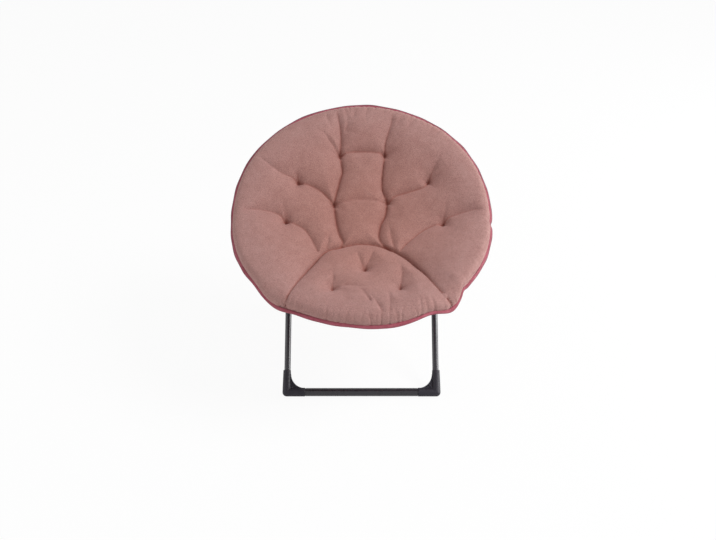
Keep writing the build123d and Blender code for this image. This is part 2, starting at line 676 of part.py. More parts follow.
export_step(front_upright_left.part, "parts/front_upright_left.step")
export_step(front_upright_right.part, "parts/front_upright_right.step")
export_step(back_upright_left.part, "parts/back_upright_left.step")
export_step(back_upright_right.part, "parts/back_upright_right.step")
export_step(front_floor_bar.part, "parts/front_floor_bar.step")
export_step(back_floor_bar.part, "parts/back_floor_bar.step")
export_step(front_foot_left.part, "parts/front_foot_left.step")
export_step(front_foot_right.part, "parts/front_foot_right.step")
export_step(back_foot_left.part, "parts/back_foot_left.step")
export_step(back_foot_right.part, "parts/back_foot_right.step")
export_step(scissor_rivets_inner.part, "parts/scissor_rivets_inner.step")
export_step(scissor_rivets_outer.part, "parts/scissor_rivets_outer.step")
export_step(back_hoop.part, "parts/back_hoop.step")
export_step(front_hoop.part, "parts/front_hoop.step")
export_step(ring_hinge_rivets.part, "parts/ring_hinge_rivets.step")
export_step(back_bracket_left.part, "parts/back_bracket_left.step")
export_step(back_bracket_right.part, "parts/back_bracket_right.step")
export_step(front_bracket_left.part, "parts/front_bracket_left.step")
export_step(front_bracket_right.part, "parts/front_bracket_right.step")
export_step(back_bracket_rivets.part, "parts/back_bracket_rivets.step")
export_step(front_bracket_rivets.part, "parts/front_bracket_rivets.step")
export_step(back_backing.part, "parts/back_backing.step")
export_step(front_backing.part, "parts/front_backing.step")
export_step(back_piping.part, "parts/back_piping.step")
export_step(front_piping.part, "parts/front_piping.step")
export_step(back_tuft_stitches.part, "parts/back_tuft_stitches.step")
export_step(front_tuft_stitches.part, "parts/front_tuft_stitches.step")
export_step(back_cushion.part, "parts/back_cushion.step")
export_step(front_cushion.part, "parts/front_cushion.step")

print("front pivot", FRONT_PIVOT, "back pivot", BACK_PIVOT)
print("front corner", FRONT_CORNER, "back corner", BACK_CORNER)
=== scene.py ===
import math

import bpy
import numpy as np
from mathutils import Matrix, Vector


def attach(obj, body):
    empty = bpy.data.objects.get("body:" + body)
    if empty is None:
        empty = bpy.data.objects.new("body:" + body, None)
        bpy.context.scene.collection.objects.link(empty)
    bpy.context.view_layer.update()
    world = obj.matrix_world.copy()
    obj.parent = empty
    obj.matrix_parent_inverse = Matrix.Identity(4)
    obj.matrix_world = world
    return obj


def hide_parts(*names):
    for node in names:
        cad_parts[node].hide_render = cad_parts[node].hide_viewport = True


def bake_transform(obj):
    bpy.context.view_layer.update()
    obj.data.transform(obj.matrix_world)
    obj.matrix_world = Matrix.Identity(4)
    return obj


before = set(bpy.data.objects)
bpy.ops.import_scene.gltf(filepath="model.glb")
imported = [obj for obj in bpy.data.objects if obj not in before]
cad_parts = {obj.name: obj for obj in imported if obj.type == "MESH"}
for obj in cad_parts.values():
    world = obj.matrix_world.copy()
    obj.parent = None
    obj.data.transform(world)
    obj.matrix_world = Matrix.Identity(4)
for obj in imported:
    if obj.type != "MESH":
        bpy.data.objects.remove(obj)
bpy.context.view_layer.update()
SCENE = bpy.context.scene

# ------------------------------------------------------------------ seat geometry, metres
HY, HZ = 0.02652, 0.510                     # ring hinge axis
TF, TB = math.radians(16.0), math.radians(35.8)     # tilt of the front and the back half
RING_R, SLEEVE_R = 0.365, 0.0115            # ring tube's centre line, fabric sleeve round it
BRACKETS = (0.2285, 0.2545)                 # bracket planes on the back and the front half
DISH = 0.056                                # depth of the dished crown and of the bowl under it
CROWN_EDGE, CROWN_LOW = 0.345, -0.031       # where the crown ends, and its height in the middle
BOWL_EDGE, BOWL_LOW = 0.3535, -0.060        # the same for the bowl of backing fabric
DISH_LIMIT = 0.36                           # both go on level beyond this radius
CROWN_R = (CROWN_EDGE**2 + DISH**2) / (2 * DISH)
BOWL_R = (BOWL_EDGE**2 + DISH**2) / (2 * DISH)
FOLD_ROUND, MIDDLE_ROUND = 0.010, 0.034     # rounding of the fold line, and more in the middle
# rolled edge of the cushion as (radius, height), from the crown outward and down
RIM = [(0.3450, 0.0250), (0.3515, 0.0264), (0.3580, 0.0260), (0.3645, 0.0234),
       (0.3700, 0.0184), (0.3740, 0.0118), (0.3762, 0.0040), (0.3760, -0.0045)]


def crown(r):
    """Height of the cushion's top over the ring's plane."""
    return CROWN_LOW + CROWN_R - np.sqrt(CROWN_R**2 - np.minimum(r, DISH_LIMIT) ** 2)


def bowl(r):
    """Height of the backing fabric over the ring's plane."""
    return BOWL_LOW + BOWL_R - np.sqrt(BOWL_R**2 - np.minimum(r, DISH_LIMIT) ** 2)


def rise(value, start, end):
    """0 before start, 1 after end and a straight rise between them."""
    return np.clip((value - start) / (end - start), 0, 1)


def degrees_from(turn, angle):
    """Angles round the seat in degrees from a given one, between -180 and 180."""
    return (np.degrees(turn) - angle + 180) % 360 - 180


def seat(x, s, h, soft):
    """Points of the seat: x across, s along it (back +, front -), h above the ring's planes.
    soft is how widely the fold line at the ring hinge is rounded."""
    x, s, h, soft = np.broadcast_arrays(x, s, h, soft)
    root = np.sqrt(s * s + soft * soft)
    g = (s + root) / 2
    y = HY + s * math.cos(TF) + (math.cos(TB) - math.cos(TF)) * g
    z = HZ + s * math.sin(TF) + (math.sin(TB) - math.sin(TF)) * g
    a = TF + (TB - TF) * (1 + s / root) / 2
    return np.stack([x, y - h * np.sin(a), z + h * np.cos(a)], -1)


def softness(r):
    """How widely the fold line is rounded: little at the ring, more in the middle."""
    return FOLD_ROUND + MIDDLE_ROUND * np.clip(1 - np.asarray(r) / DISH_LIMIT, 0, 1) ** 0.5


# The sewn edge isn't a true circle: (angle, width) in degrees round the seat, and how far the
# edge reaches out and hangs down there in mm. The two narrow ones are nicks, one beside the
# hinge and one at the lower corner.
EDGE_SHAPE = [(147, 22, 7, 0), (33, 22, 6, 0), (232, 8, 8, 11), (308.5, 6.5, 17, 20),
              (284, 20, 5, 6), (357.5, 1.6, -4, 0), (317, 1.8, -3.5, -4)]
BRACKET_TURNS = (51, 129, 226, 315)         # angles of the four leg brackets round the seat
BRACKET_COVER, COVER_WIDE = 0.0024, 5.5     # how far the edge bulges over them, and how wide


def uneven_edge(turn):
    """How far the edge reaches out and hangs down at an angle round the seat, in metres."""
    out, down = np.zeros_like(turn), np.zeros_like(turn)
    for angle, width, far, low in EDGE_SHAPE:
        share = np.exp(-(degrees_from(turn, angle) / width) ** 2)
        out += far / 1000 * share
        down += low / 1000 * share
    return out, down


def over_brackets(turn):
    """How far the rolled edge stands out to cover the leg brackets, in metres."""
    out = np.zeros_like(turn)
    for angle in BRACKET_TURNS:
        out += BRACKET_COVER * np.exp(-(degrees_from(turn, angle) / COVER_WIDE) ** 2)
    return out


def round_seat(r, turn, h, share=0.0, soft=None):
    """Points at radius r and an angle round the seat, with a share of the uneven edge."""
    out, down = uneven_edge(turn)
    r = r + share * out
    return seat(r * np.cos(turn), r * np.sin(turn), h - share * down,
                softness(r) if soft is None else soft)


def mesh_object(name, points, faces):
    """Smooth-shaded mesh in the scene."""
    mesh = bpy.data.meshes.new(name)
    mesh.from_pydata([tuple(map(float, p)) for p in points], [], faces)
    mesh.validate()
    mesh.update()
    mesh.polygons.foreach_set("use_smooth", [True] * len(mesh.polygons))
    made = bpy.data.objects.new(name, mesh)
    SCENE.collection.objects.link(made)
    return made


def paint(obj, label, values):
    """Gives every point of a mesh a value between 0 and 1, which its material reads."""
    made = obj.data.attributes.new(label, "FLOAT", "POINT")
    made.data.foreach_set("value", values.astype(np.float32))


def apply_modifiers(obj):
    """Puts what the modifiers make in place of the mesh."""
    graph = bpy.context.evaluated_depsgraph_get()
    new = bpy.data.meshes.new_from_object(obj.evaluated_get(graph), depsgraph=graph)
    obj.modifiers.clear()
    old, obj.data = obj.data, new
    bpy.data.meshes.remove(old)
    obj.data.polygons.foreach_set("use_smooth", [True] * len(obj.data.polygons))


# ------------------------------------------------------------------ what is sewn in the seat
# in mm: tufts as (x, s, depth), the seam as a line of (x, s), and creases as such lines with
# their depth at both ends; x is across, s along the seat from the hinge axis
TUFTS = [(-66, 218, 24), (71, 220, 24), (-83, 62, 24), (77, 70, 24), (-191, 126, 25),
         (201, 128, 25), (-224, 0, 24), (240, -9, 24), (9, -171, 20), (-80, -257, 17),
         (106, -257, 17)]
SEAM = [(-222, -345), (-207, -325), (-190, -279), (-164, -215), (-129, -140), (-100, -99),
        (-70, -86), (-40, -74), (-7, -67), (37, -71), (72, -86), (104, -108), (136, -143),
        (170, -196), (197, -250), (217, -281), (240, -298)]
CREASES = [
    ([(-76, 352), (-66, 303), (-63, 261), (-66, 218)], 7, 15),
    ([(-47, 352), (-42, 314), (-49, 290)], 3, 6),
    ([(-117, 282), (-95, 255), (-74, 228), (-66, 218)], 2, 12),
    ([(-108, 338), (-98, 312), (-84, 292)], 5, 1),
    ([(-20, 358), (-24, 334), (-34, 318)], 5, 1),
    ([(16, 358), (12, 336), (16, 316)], 4, 1),
    ([(122, 334), (108, 306), (100, 282)], 5, 1),
    ([(156, 318), (138, 292)], 4, 1),
    ([(-66, 218), (-59, 169), (-65, 141), (-76, 96), (-83, 62)], 15, 15),
    ([(-83, 62), (-76, 11), (-66, -32), (-55, -60), (-58, -80)], 16, 13),
    ([(97, 349), (89, 308), (73, 255), (71, 220)], 5, 14),
    ([(71, 220), (64, 168), (62, 113), (77, 70)], 14, 15),
    ([(77, 70), (71, 28), (56, -3), (51, -40), (62, -72), (84, -98)], 16, 13),
    ([(-66, 218), (-31, 228), (12, 229), (54, 225), (71, 220)], 11, 11),
    ([(-83, 62), (-10, 74), (77, 70)], 5, 5),
    ([(-191, 126), (-157, 119), (-123, 102), (-94, 75), (-83, 62)], 11, 13),
    ([(-191, 126), (-206, 139), (-232, 146), (-262, 162), (-300, 190)], 12, 3),
    ([(-191, 126), (-194, 168)], 10, 1),
    ([(201, 128), (185, 110), (143, 98), (101, 86), (80, 67)], 11, 12),
    ([(201, 128), (217, 165), (235, 196)], 9, 1),
    ([(-224, 0), (-195, -9), (-169, -23), (-147, -56), (-126, -106)], 11, 9),
    ([(-224, 0), (-240, 16), (-278, 25), (-323, 23), (-350, 14)], 12, 4),
    ([(-224, 0), (-232, 50)], 9, 1),
    ([(240, -9), (212, -15), (175, -34), (133, -72), (112, -101)], 11, 10),
    ([(240, -9), (252, 3), (286, 14), (321, 20), (352, 19)], 12, 5),
    ([(240, -9), (251, 48)], 9, 1),
    ([(76, 5), (86, -40), (94, -90)], 2, 8),
    ([(-92, -33), (-100, -91)], 2, 7),
    ([(-14, -108), (9, -171)], 2, 10),
    ([(38, -98), (9, -171)], 2, 10),
    ([(-80, -257), (-78, -195)], 9, 1),
    ([(106, -257), (113, -194), (102, -152)], 9, 1),
    ([(-80, -257), (-38, -250), (6, -263)], 6, 2),
    ([(20, -290), (42, -322), (56, -352)], 3, 8),
    ([(0, -272), (22, -312)], 2, 6),
    ([(72, -268), (76, -312), (74, -350)], 1, 6),
]


def spline(points, count):
    """Smooth line through points (Catmull-Rom), as count points."""
    p = np.array(points, float)
    p = np.vstack([2 * p[0] - p[1], p, 2 * p[-1] - p[-2]])
    out = []
    for t in np.linspace(0, len(p) - 3.000001, count):
        i, f = int(t), t - int(t)
        a, b, c, d = p[i:i + 4]
        out.append(0.5 * (2 * b + (c - a) * f + (2 * a - 5 * b + 4 * c - d) * f * f
                          + (3 * b - 3 * c + d - a) * f**3))
    return np.array(out)


def line_distance(x, s, points, first, last):
    """Distance in mm of every (x, s) from a smooth line, and the depth at the nearest place."""
    line = spline(points, 12 * len(points))
    depth = np.linspace(first, last, len(line))
    best = np.full(x.shape, np.inf)
    deep = np.zeros(x.shape)
    for (ax, ay), (bx, by), d0, d1 in zip(line[:-1], line[1:], depth[:-1], depth[1:]):
        vx, vy = bx - ax, by - ay
        t = np.clip(((x - ax) * vx + (s - ay) * vy) / (vx * vx + vy * vy + 1e-9), 0, 1)
        dist = np.hypot(x - ax - t * vx, s - ay - t * vy)
        near = dist < best
        best = np.where(near, dist, best)
        deep = np.where(near, d0 + t * (d1 - d0), deep)
    return best, deep


# ------------------------------------------------------------------ cushion
N = 150                                     # quads across the padded top


def disk(n):
    """Square grid pressed into a unit disk: even quads and one clean edge."""
    u, v = np.meshgrid(np.linspace(-1, 1, n + 1), np.linspace(-1, 1, n + 1), indexing="ij")
    a, b = u * np.sqrt(1 - v * v / 2), v * np.sqrt(1 - u * u / 2)
    index = np.arange((n + 1) ** 2).reshape(n + 1, n + 1)
    faces = np.stack([index[:-1, :-1], index[1:, :-1], index[1:, 1:], index[:-1, 1:]],
                     -1).reshape(-1, 4)
    edge = np.concatenate([index[:-1, 0], index[-1, :-1], index[:0:-1, -1], index[0, :0:-1]])
    return a.ravel(), b.ravel(), faces.tolist(), edge


def profile():
    """Crown and rolled rim as (radius, height) against the share of the way out."""
    r = np.linspace(0, CROWN_EDGE, 60)
    line = np.array(list(zip(r, crown(r))) + RIM[1:])
    run = np.concatenate([[0], np.cumsum(np.hypot(*np.diff(line, axis=0).T))])
    return run / run[-1], line


SHARE, LINE = profile()
a, b, top_faces, _ = disk(N)
rho, theta = np.hypot(a, b), np.arctan2(b, a)
rad = np.interp(rho, SHARE, LINE[:, 0])
top_h = np.interp(rho, SHARE, LINE[:, 1])
top_x, top_s = rad * np.cos(theta), rad * np.sin(theta)
SOFT = softness(rad)

mm_x, mm_s = top_x * 1000, top_s * 1000
fade = 1 - rise(rad, 0.336, 0.366)          # folds die out on the rolled rim
edge_share = rise(rad, 0.27, 0.37) ** 2     # the uneven edge begins well inside the rim
rad = rad + over_brackets(theta) * rise(rad, 0.355, 0.370)


def on_rim(r):
    """Share of the way from the crown to the rolled side."""
    return rise(r, 0.335, 0.365)


FAR = 1e9                                   # farther than any distance in mm
CREASE_WIDE, SEAM_WIDE, TUFT_WIDE = 12.0, 10.0, 17.0    # how far each draws the top down, mm
FOLD_WIDE = 2.4                             # half width of a sharp fold or stitched line, mm
CREASE_SHARE = 0.72                         # share of a crease's depth that the wide hollow takes
FULL_DEPTH = 15                             # depth at which a crease's fold is fully sharp, mm
SEAM_DEEP, SEAM_SHALLOWER = 0.014, 0.011    # seam's depth in the middle, and less at the rim


def sewn_fields(x, s):
    """What sewing does at (x, s) in mm: how far creases and tufts sink the top, the sharp fold
    along them, how far the seam sinks it, and the distances to the nearest deep crease, seam
    and tuft."""
    sink, sharp = np.zeros(len(x)), np.zeros(len(x))
    crease_near, tuft_near = np.full(len(x), FAR), np.full(len(x), FAR)
    for points, first, last in CREASES:
        dist, deep = line_distance(x, s, points, first, last)
        hollow = CREASE_SHARE * deep / 1000 * np.exp(-(dist / CREASE_WIDE) ** 1.3)
        sink = np.maximum(sink, hollow)
        sharp = np.maximum(sharp, deep / FULL_DEPTH * np.exp(-dist / FOLD_WIDE))
        # shallow creases don't hold the padding down
        crease_near = np.minimum(crease_near, dist + 9 * np.clip(7 - deep, 0, 7))
    seam_near, _ = line_distance(x, s, SEAM, 1, 1)
    seam_deep = SEAM_DEEP - SEAM_SHALLOWER * rise(np.hypot(x, s), 220, 310)
    seam_sink = seam_deep * np.exp(-(seam_near / SEAM_WIDE) ** 1.2)
    for tx, ts, depth in TUFTS:
        dist = np.hypot(x - tx, s - ts)
        tuft_near = np.minimum(tuft_near, dist)
        sink = np.maximum(sink, depth / 1000 * np.exp(-((dist + 1.0) / TUFT_WIDE) ** 1.25))
    return sink, sharp, seam_sink, crease_near, seam_near, tuft_near


sink, _, seam_sink, crease_near, seam_near, tuft_near = sewn_fields(mm_x, mm_s)
sewn_near = np.minimum(np.minimum(tuft_near, seam_near), crease_near)
# the rolled edge is thinner at the back, and pads stand up between what is sewn down
BACK_THINNER, PAD_HIGH, PAD_WIDE = 0.006, 0.009, 36.0
at_back = rise(rad, 0.30, 0.35) * rise(top_h, 0, 0.02) * np.clip(np.sin(theta), 0, 1)
top_h -= BACK_THINNER * at_back
pad = PAD_HIGH * (1 - np.exp(-(sewn_near / PAD_WIDE) ** 2)) * (1 - rise(rad, 0.305, 0.355))


def ripple(x, s, count, low, high, seed):
    """Sum of gentle waves in many directions, between -1 and 1."""
    waves = np.random.default_rng(seed)
    total = np.zeros(len(x))
    for _ in range(count):
        k = 2 * math.pi / waves.uniform(low, high)
        turn, shift = waves.uniform(0, 2 * math.pi, 2)
        total += np.sin(k * (x * math.cos(turn) + s * math.sin(turn)) + shift)
    return total / math.sqrt(count) / 2


UNEVEN_SEWN, UNEVEN_CUT = 0.0012, 0.0025    # gentle waves of the top, and of the cut cloth
uneven = ripple(top_x, top_s, 14, 0.045, 0.16, 3)

sunk = np.maximum(sink * fade, seam_sink * (1 - on_rim(rad)))
sewn_h = top_h - sunk + pad + UNEVEN_SEWN * uneven * fade
top_points = round_seat(rad, theta, sewn_h, edge_share, SOFT)


def smoothed(field, rounds):
    """Field on the disk grid, averaged with its neighbours."""
    grid = field.reshape(N + 1, N + 1, -1)
    for _ in range(rounds):
        for _ in range(2):
            wide = np.concatenate([grid[:1], grid, grid[-1:]])
            grid = np.swapaxes((wide[:-2] + 2 * grid + wide[2:]) / 4, 0, 1)
    return grid.reshape(field.shape)


CLOTH_SLACK = 1.03                          # the cloth is cut this much larger than the seat
CLOTH_STEPS = 24
MOST_MOVE = 0.012                           # cap on how far the cloth moves a point


def simulate(points, faces):
    """Lets cloth that is a little too large swell between the places where it is sewn down."""
    obj = mesh_object("cloth", points, faces)
    cut_h = top_h + 0.6 * pad + UNEVEN_CUT * uneven
    rest = round_seat(rad * CLOTH_SLACK, theta, cut_h, edge_share, SOFT)
    obj.shape_key_add(name="Basis")
    key = obj.shape_key_add(name="cut")
    key.data.foreach_set("co", rest.ravel())
    group = obj.vertex_groups.new(name="sewn")
    weight = rise(rad, 0.358, 0.370)
    weight = np.maximum(weight, np.clip(1.6 - tuft_near / 7, 0, 1))
    weight = np.maximum(weight, 0.9 * np.clip(1.5 - seam_near / 5, 0, 1))
    weight = np.maximum(weight, 0.35 * np.clip(1.5 - crease_near / 6, 0, 1))
    for i in np.nonzero(weight > 0.01)[0]:
        group.add([int(i)], float(weight[i]), "REPLACE")
    cloth = obj.modifiers.new("cloth", "CLOTH")
    fabric = cloth.settings
    fabric.quality = 6
    fabric.mass = 0.25
    fabric.tension_stiffness = fabric.compression_stiffness = 18
    fabric.shear_stiffness = 6
    fabric.bending_stiffness = 0.9
    fabric.tension_damping = fabric.compression_damping = 8
    fabric.bending_damping = 1
    fabric.air_damping = 3
    fabric.use_pressure = True
    fabric.uniform_pressure_force = 4.0
    fabric.effector_weights.gravity = 0
    fabric.vertex_group_mass = "sewn"
    fabric.pin_stiffness = 1.0
    fabric.rest_shape_key = key
    cloth.collision_settings.use_collision = False
    cloth.collision_settings.use_self_collision = False
    cloth.point_cache.frame_start = 1
    cloth.point_cache.frame_end = CLOTH_STEPS + 2
    for step in range(1, CLOTH_STEPS + 1):
        SCENE.frame_set(step)
    graph = bpy.context.evaluated_depsgraph_get()
    result = obj.evaluated_get(graph).to_mesh()
    co = np.zeros(len(points) * 3)
    result.vertices.foreach_get("co", co)
    SCENE.frame_set(1)
    bpy.data.objects.remove(obj)
    move = co.reshape(-1, 3) - points
    length = np.linalg.norm(move, axis=1, keepdims=True)
    move = smoothed(move * np.minimum(1, MOST_MOVE / np.maximum(length, 1e-9)), 2)
    return points + move * np.clip(sewn_near / 14, 0.15, 1)[:, None]


top_points = simulate(top_points, top_faces)


def finer(grid):
    """Doubles a structured grid along both of its ways, through the points it has."""
    for _ in range(2):
        ends = np.concatenate([2 * grid[:1] - grid[1:2], grid, 2 * grid[-1:] - grid[-2:-1]])
        between = (9 * (ends[1:-2] + ends[2:-1]) - ends[:-3] - ends[3:]) / 16
        out = np.empty((2 * len(grid) - 1, *grid.shape[1:]))
        out[::2], out[1::2] = grid, between
        grid = np.swapaxes(out, 0, 1)
    return grid


def closed_by_rings(name, grid_points, n, rings):
    """Joins the edge of a disk grid to rings of (radius, height, share of the uneven edge)
    and closes it with a fan."""
    a, b, faces, edge = disk(n)
    turn = np.arctan2(b, a)[edge]
    count = len(edge)
    points, last, base = [grid_points], list(edge), len(grid_points)
    for r, h, share in rings:
        points.append(round_seat(r, turn, h, share))
        now = list(range(base, base + count))
        faces += [(last[i], last[(i + 1) % count], now[(i + 1) % count], now[i])
                  for i in range(count)]
        last, base = now, base + count
    points.append(seat(np.zeros(1), np.zeros(1), rings[-1][1], softness(0)))
    faces += [(last[i], last[(i + 1) % count], base) for i in range(count)]
    return mesh_object(name, np.vstack(points), faces)


def normals(grid):
    """Unit normals of a structured grid of points."""
    across, along = np.gradient(grid, axis=0), np.gradient(grid, axis=1)
    n = np.cross(across, along)
    return n / np.linalg.norm(n, axis=2, keepdims=True)


def puckers(x, s):
    """Small folds that run out from each tuft, between -1 and 1."""
    total = np.zeros(len(x))
    draws = np.random.default_rng(11)
    for tx, ts, _ in TUFTS:
        dist, turn = np.hypot(x - tx, s - ts), np.arctan2(s - ts, x - tx)
        for count in (5, 8):
            shift, size = draws.uniform(0, 2 * math.pi), draws.uniform(0.4, 0.8)
            total += size * np.sin(count * turn + shift) * dist / 9 * np.exp(1 - dist / 9)
    return total


def gathers(turn, r):
    """Short folds across the rolled edge where the binding gathers it, between 0 and 1."""
    total = np.zeros(len(turn))
    draws = np.random.default_rng(23)
    at = 236.0
    while at < 476:
        share = 1.0 if at < 305 or 400 < at < 470 else 0.45
        deep = share * draws.uniform(0.25, 1.0)
        wide, start = draws.uniform(2.0, 4.2), draws.uniform(0.335, 0.352)
        lean = draws.uniform(-60, 60)
        away = np.radians(degrees_from(turn, at + lean * (r - 0.36))) * 360     # mm
        total += deep * np.exp(-(away / wide) ** 2) * rise(r, start, start + 0.018)
        at += draws.uniform(1.7, 4.0)
    return np.minimum(total, 1)


# sharp folds go into the finer top, after the cloth has settled
fine = finer(top_points.reshape(N + 1, N + 1, 3))
fine_x, fine_s, fine_rad = (finer(v.reshape(N + 1, N + 1)).ravel() for v in (mm_x, mm_s, rad))
fine_sink, fine_sharp, fine_seam_sink, _, fine_seam, fine_tuft = sewn_fields(fine_x, fine_s)
FOLD_CUT, STITCH_CUT, PUCKER_CUT, TUFT_CUT, GATHER_CUT = 0.0042, 0.0056, 0.0008, 0.0016, 0.0020
fine_fade = 1 - rise(fine_rad, 0.349, 0.374)
stitched = np.exp(-fine_seam / FOLD_WIDE)
gathered = gathers(np.arctan2(fine_s, fine_x), fine_rad)
cut = FOLD_CUT * fine_sharp * fine_fade + STITCH_CUT * stitched
cut += fine_seam_sink * on_rim(fine_rad)
cut += PUCKER_CUT * puckers(fine_x, fine_s) * fine_fade
cut += TUFT_CUT * np.exp(-(fine_tuft / 4.0) ** 2)
cut += GATHER_CUT * gathered
fine = (fine - cut.reshape(2 * N + 1, 2 * N + 1, 1) * normals(fine)).reshape(-1, 3)

# closed form: over the tube and back along the backing fabric, hidden between them
OVER_TUBE, OVER_BOWL = 0.0098, 0.0006
under = [(0.3748, -0.0066, 1.0)]
for angle in range(-16, 181, 14):
    t = math.radians(angle)
    under.append((RING_R + OVER_TUBE * math.cos(t), OVER_TUBE * math.sin(t), 0.0))
under += [(r, float(bowl(r)) + OVER_BOWL, 0.0) for r in (0.345, 0.31, 0.26, 0.20, 0.13, 0.06)]
cushion = closed_by_rings("seat_cushion", fine, 2 * N, under)
# what the plush reads as painted shade: how deep in a fold a point is, and how near the middle of
# the seat
fold_shade = np.zeros(len(cushion.data.vertices))
fold_shade[:len(fine)] = np.clip(
    0.8 * fine_sharp * fine_fade + 0.95 * stitched + 0.35 * fine_sink / 0.02 * fine_fade
    + 0.22 * np.exp(-(fine_tuft / 5.0) ** 2) + 0.30 * gathered, 0, 1)
# painted shade of the bowl: strongest in the middle of the seat
hollow = np.zeros(len(fold_shade))
hollow[:len(fine)] = np.clip(1 - (fine_rad / 0.33) ** 2, 0, 1)
paint(cushion, "fold", fold_shade)
paint(cushion, "hollow", hollow)
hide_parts("back_cushion", "front_cushion", "back_tuft_stitches",
            "front_tuft_stitches")


# ------------------------------------------------------------------ binding round the edge
BAND_HALF = 0.0023                          # half the band's thickness


def binding(turns=900, around=14):
    """Flat folded band sewn round the edge. It hangs at the front and lies flatter at the back,
    and its lean, place and width wander a little, as those of sewn binding do."""
    t = np.linspace(0, 2 * math.pi, turns, endpoint=False)
    back = np.clip(np.sin(t) + 0.2, 0, 1)
    lean = np.radians(28 - 24 * np.sin(t)) + 0.10 * np.sin(11 * t + 1) + 0.08 * np.sin(23 * t + 2)
    mid_r = 0.3785 + 0.0016 * back + 0.0006 * np.sin(9 * t + 1) + 0.0004 * np.sin(31 * t)
    mid_h = -0.0092 + 0.0068 * back + 0.0006 * np.sin(7 * t + 0.5)
    wide = 0.0056 + 0.0008 * np.clip(np.sin(t) + 0.6, 0, 1) + 0.0005 * np.sin(13 * t)
    wide += 0.0003 * np.sin(29 * t + 1)
    rows = []
    for j in range(around):
        q = 2 * math.pi * j / around
        u, v = wide * math.cos(q), BAND_HALF * math.sin(q)
        rows.append(round_seat(mid_r + u * np.cos(lean) + v * np.sin(lean), t,
                               mid_h - u * np.sin(lean) + v * np.cos(lean), 1.0, FOLD_ROUND))
    points = np.stack(rows, 1).reshape(-1, 3)
    faces = [(i * around + j, (i + 1) % turns * around + j,
              (i + 1) % turns * around + (j + 1) % around, i * around + (j + 1) % around)
             for i in range(turns) for j in range(around)]
    made = mesh_object("edge_binding", points, faces)
    # painted shade: the band's outer fold is darkened, more at the back and the sides than at the
    # front
    q = np.tile(np.arange(around) * 2 * math.pi / around, turns)
    shade_toward_back = np.repeat(np.clip(np.sin(t) + 0.75, 0, 1), around)
    paint(made, "folded_edge_shade", np.clip(np.cos(q) * 1.8 - 0.3, 0, 1) * (0.25 + 0.75 * shade_toward_back))
    return made


piping = binding()
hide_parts("back_piping", "front_piping")

# ------------------------------------------------------------------ backing fabric and sleeve
CLOTH_THICK = 0.0014
UNDER_BOWL = 0.0012                         # middle of the bowl's cloth, below the padding
SLEEVE_MID = SLEEVE_R - 0.0008              # middle of the sleeve's cloth, from the tube's axis
OPEN_BRACKET, OPEN_HINGE = 0.019, 0.043     # half the sleeve's openings at brackets and hinges


def sleeve_is_open(turn):
    """Whether the sleeve is cut away at an angle round the seat, for a bracket or a hinge."""
    x, s = RING_R * math.cos(turn), RING_R * math.sin(turn)
    bracket = BRACKETS[0] if s > 0 else BRACKETS[1]
    return abs(abs(x) - bracket) < OPEN_BRACKET * abs(s) / RING_R or abs(s) < OPEN_HINGE


def backing_fabric(quads=90):
    """Bowl under the cushion, with a sleeve round the tube that ends in the sewn edge."""
    a, b, bowl_faces, bowl_edge = disk(quads)
    turn, r = np.arctan2(b, a), np.hypot(a, b) * CROWN_EDGE
    bowl_points = round_seat(r, turn, bowl(r) - UNDER_BOWL)
    turn = turn[bowl_edge]
    count = len(turn)
    points, faces = [bowl_points], [f[::-1] for f in bowl_faces]
    last, base = list(bowl_edge), len(bowl_points)
    rows = []
    for angle in range(-170, -19, 10):
        t = math.radians(angle)
        rows.append((RING_R + SLEEVE_MID * math.cos(t), SLEEVE_MID * math.sin(t), 0.0))
    rows.append((0.3752, -0.0086, 1.0))
    for row, (r, h, share) in enumerate(rows):
        points.append(round_seat(r, turn, h, share))
        now = list(range(base, base + count))
        for i in range(count):
            halfway = (turn[i] + turn[(i + 1) % count]) / 2 if i < count - 1 else turn[i]
            if 0 < row < len(rows) - 1 and sleeve_is_open(halfway):
                continue
            faces.append((last[(i + 1) % count], last[i], now[i], now[(i + 1) % count]))
        last, base = now, base + count
    made = mesh_object("backing_fabric", np.vstack(points), faces)
    solid = made.modifiers.new("thick", "SOLIDIFY")
    solid.thickness = CLOTH_THICK
    solid.offset = 0
    apply_modifiers(made)
    return made


backing = backing_fabric()
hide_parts("back_backing", "front_backing")


# ------------------------------------------------------------------ corner feet
BAR_Z = 0.0129                              # height of the floor bar's axis
FOOT_R, SOCKET_R = 0.0133, 0.0116           # radius at the corner, and at the socket's mouth
FOOT_TALL, GUSSET = 0.0675, 0.043           # upper socket's length, radius of the inner corner
ARM = 0.0565                                # length of the arm along the floor bar
FEET = {"front": (0.2285, -0.17648, 44.58), "back": (0.2545, 0.28152, 115.93)}  # x, y, lean
ARC_STEPS = 25
EDGE_STEP = 0.0006                          # small bevel at the mouths of socket and arm
WEB_HALF, FLANGE_HALF, RIB_HALF = 0.0036, 0.0070, 0.0062    # half thicknesses of the gusset
FLANGE_DEEP, RIB_WIDE = 0.0032, 0.0014


def lathe(start, way, rings, turns=48):
    """Closed round form about an axis, from rings of (distance along it, radius)."""
    way = Vector(way).normalized()
    side = way.orthogonal().normalized()
    up = way.cross(side)
    points, faces = [], []
    for far, radius in rings:
        for i in range(turns):
            t = 2 * math.pi * i / turns
            out = side * math.cos(t) + up * math.sin(t)
            points.append(Vector(start) + way * far + radius * out)
    for j in range(len(rings) - 1):
        faces += [(j * turns + i, j * turns + (i + 1) % turns,
                   (j + 1) * turns + (i + 1) % turns, (j + 1) * turns + i)
                  for i in range(turns)]
    end = (len(rings) - 1) * turns
    faces += [tuple(range(turns))[::-1], tuple(range(end, end + turns))]
    return points, faces


def slab(outline, place, half):
    """Flat plate of an outline (u, w), 2 * half thick; place turns (u, w, off) to a point."""
    n = len(outline)
    points = [place(u, w, off) for off in (-half, half) for u, w in outline]
    faces = [(i, (i + 1) % n, n + (i + 1) % n, n + i) for i in range(n)]
    return points, faces + [tuple(range(n))[::-1], tuple(range(n, 2 * n))]


